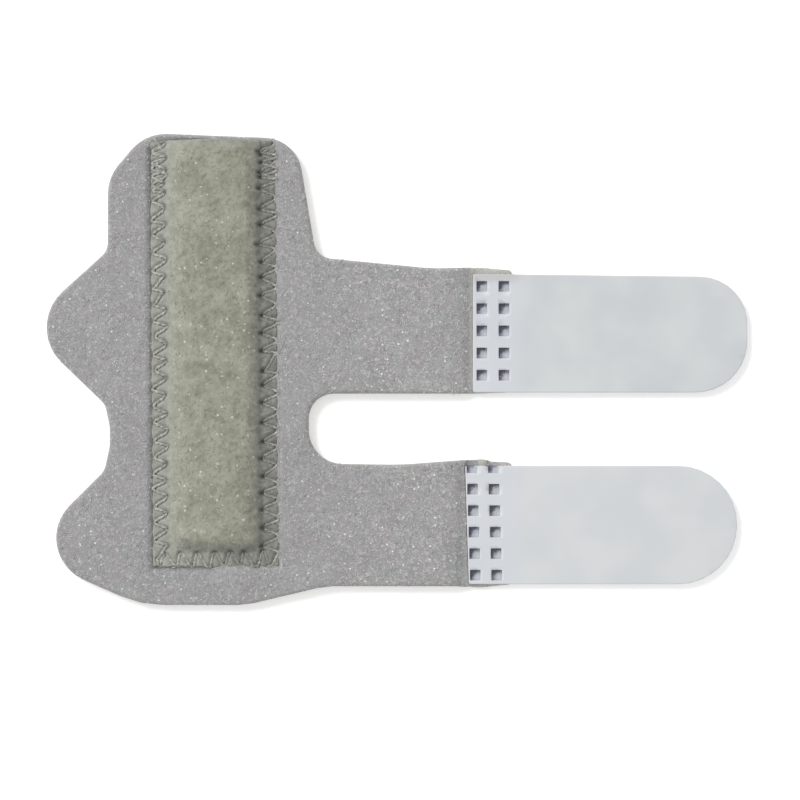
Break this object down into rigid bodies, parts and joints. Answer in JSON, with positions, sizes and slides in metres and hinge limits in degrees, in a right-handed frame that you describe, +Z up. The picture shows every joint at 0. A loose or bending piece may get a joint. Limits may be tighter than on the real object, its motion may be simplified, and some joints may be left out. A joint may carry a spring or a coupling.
{
  "type": "finger splint",
  "caption": "Open finger splint: grey foam wrap whose side straps end in rounded hook tabs, with a stitched pile pocket for a stiffening bar.",
  "frame": {"origin": "middle of the splint's box, on the surface that it lies on", "axes": "+X along the straps towards the hook tabs' ends, +Y along the pocket towards its open mouth, +Z up, out of the face that carries the pocket"},
  "size_m": [0.1192, 0.0802, 0.0048],
  "materials": {
    "foam_laminate": "brushed loop face on foam, matt",
    "pile_cloth": "short felted pile, matt",
    "hook_tape": "smooth moulded back, satin"
  },
  "bodies": {
    "root": {"foam_pad": "foam_laminate", "bar_pocket": "pile_cloth", "upper_hook_tab": "hook_tape", "lower_hook_tab": "hook_tape"}
  },
  "joints": []
}
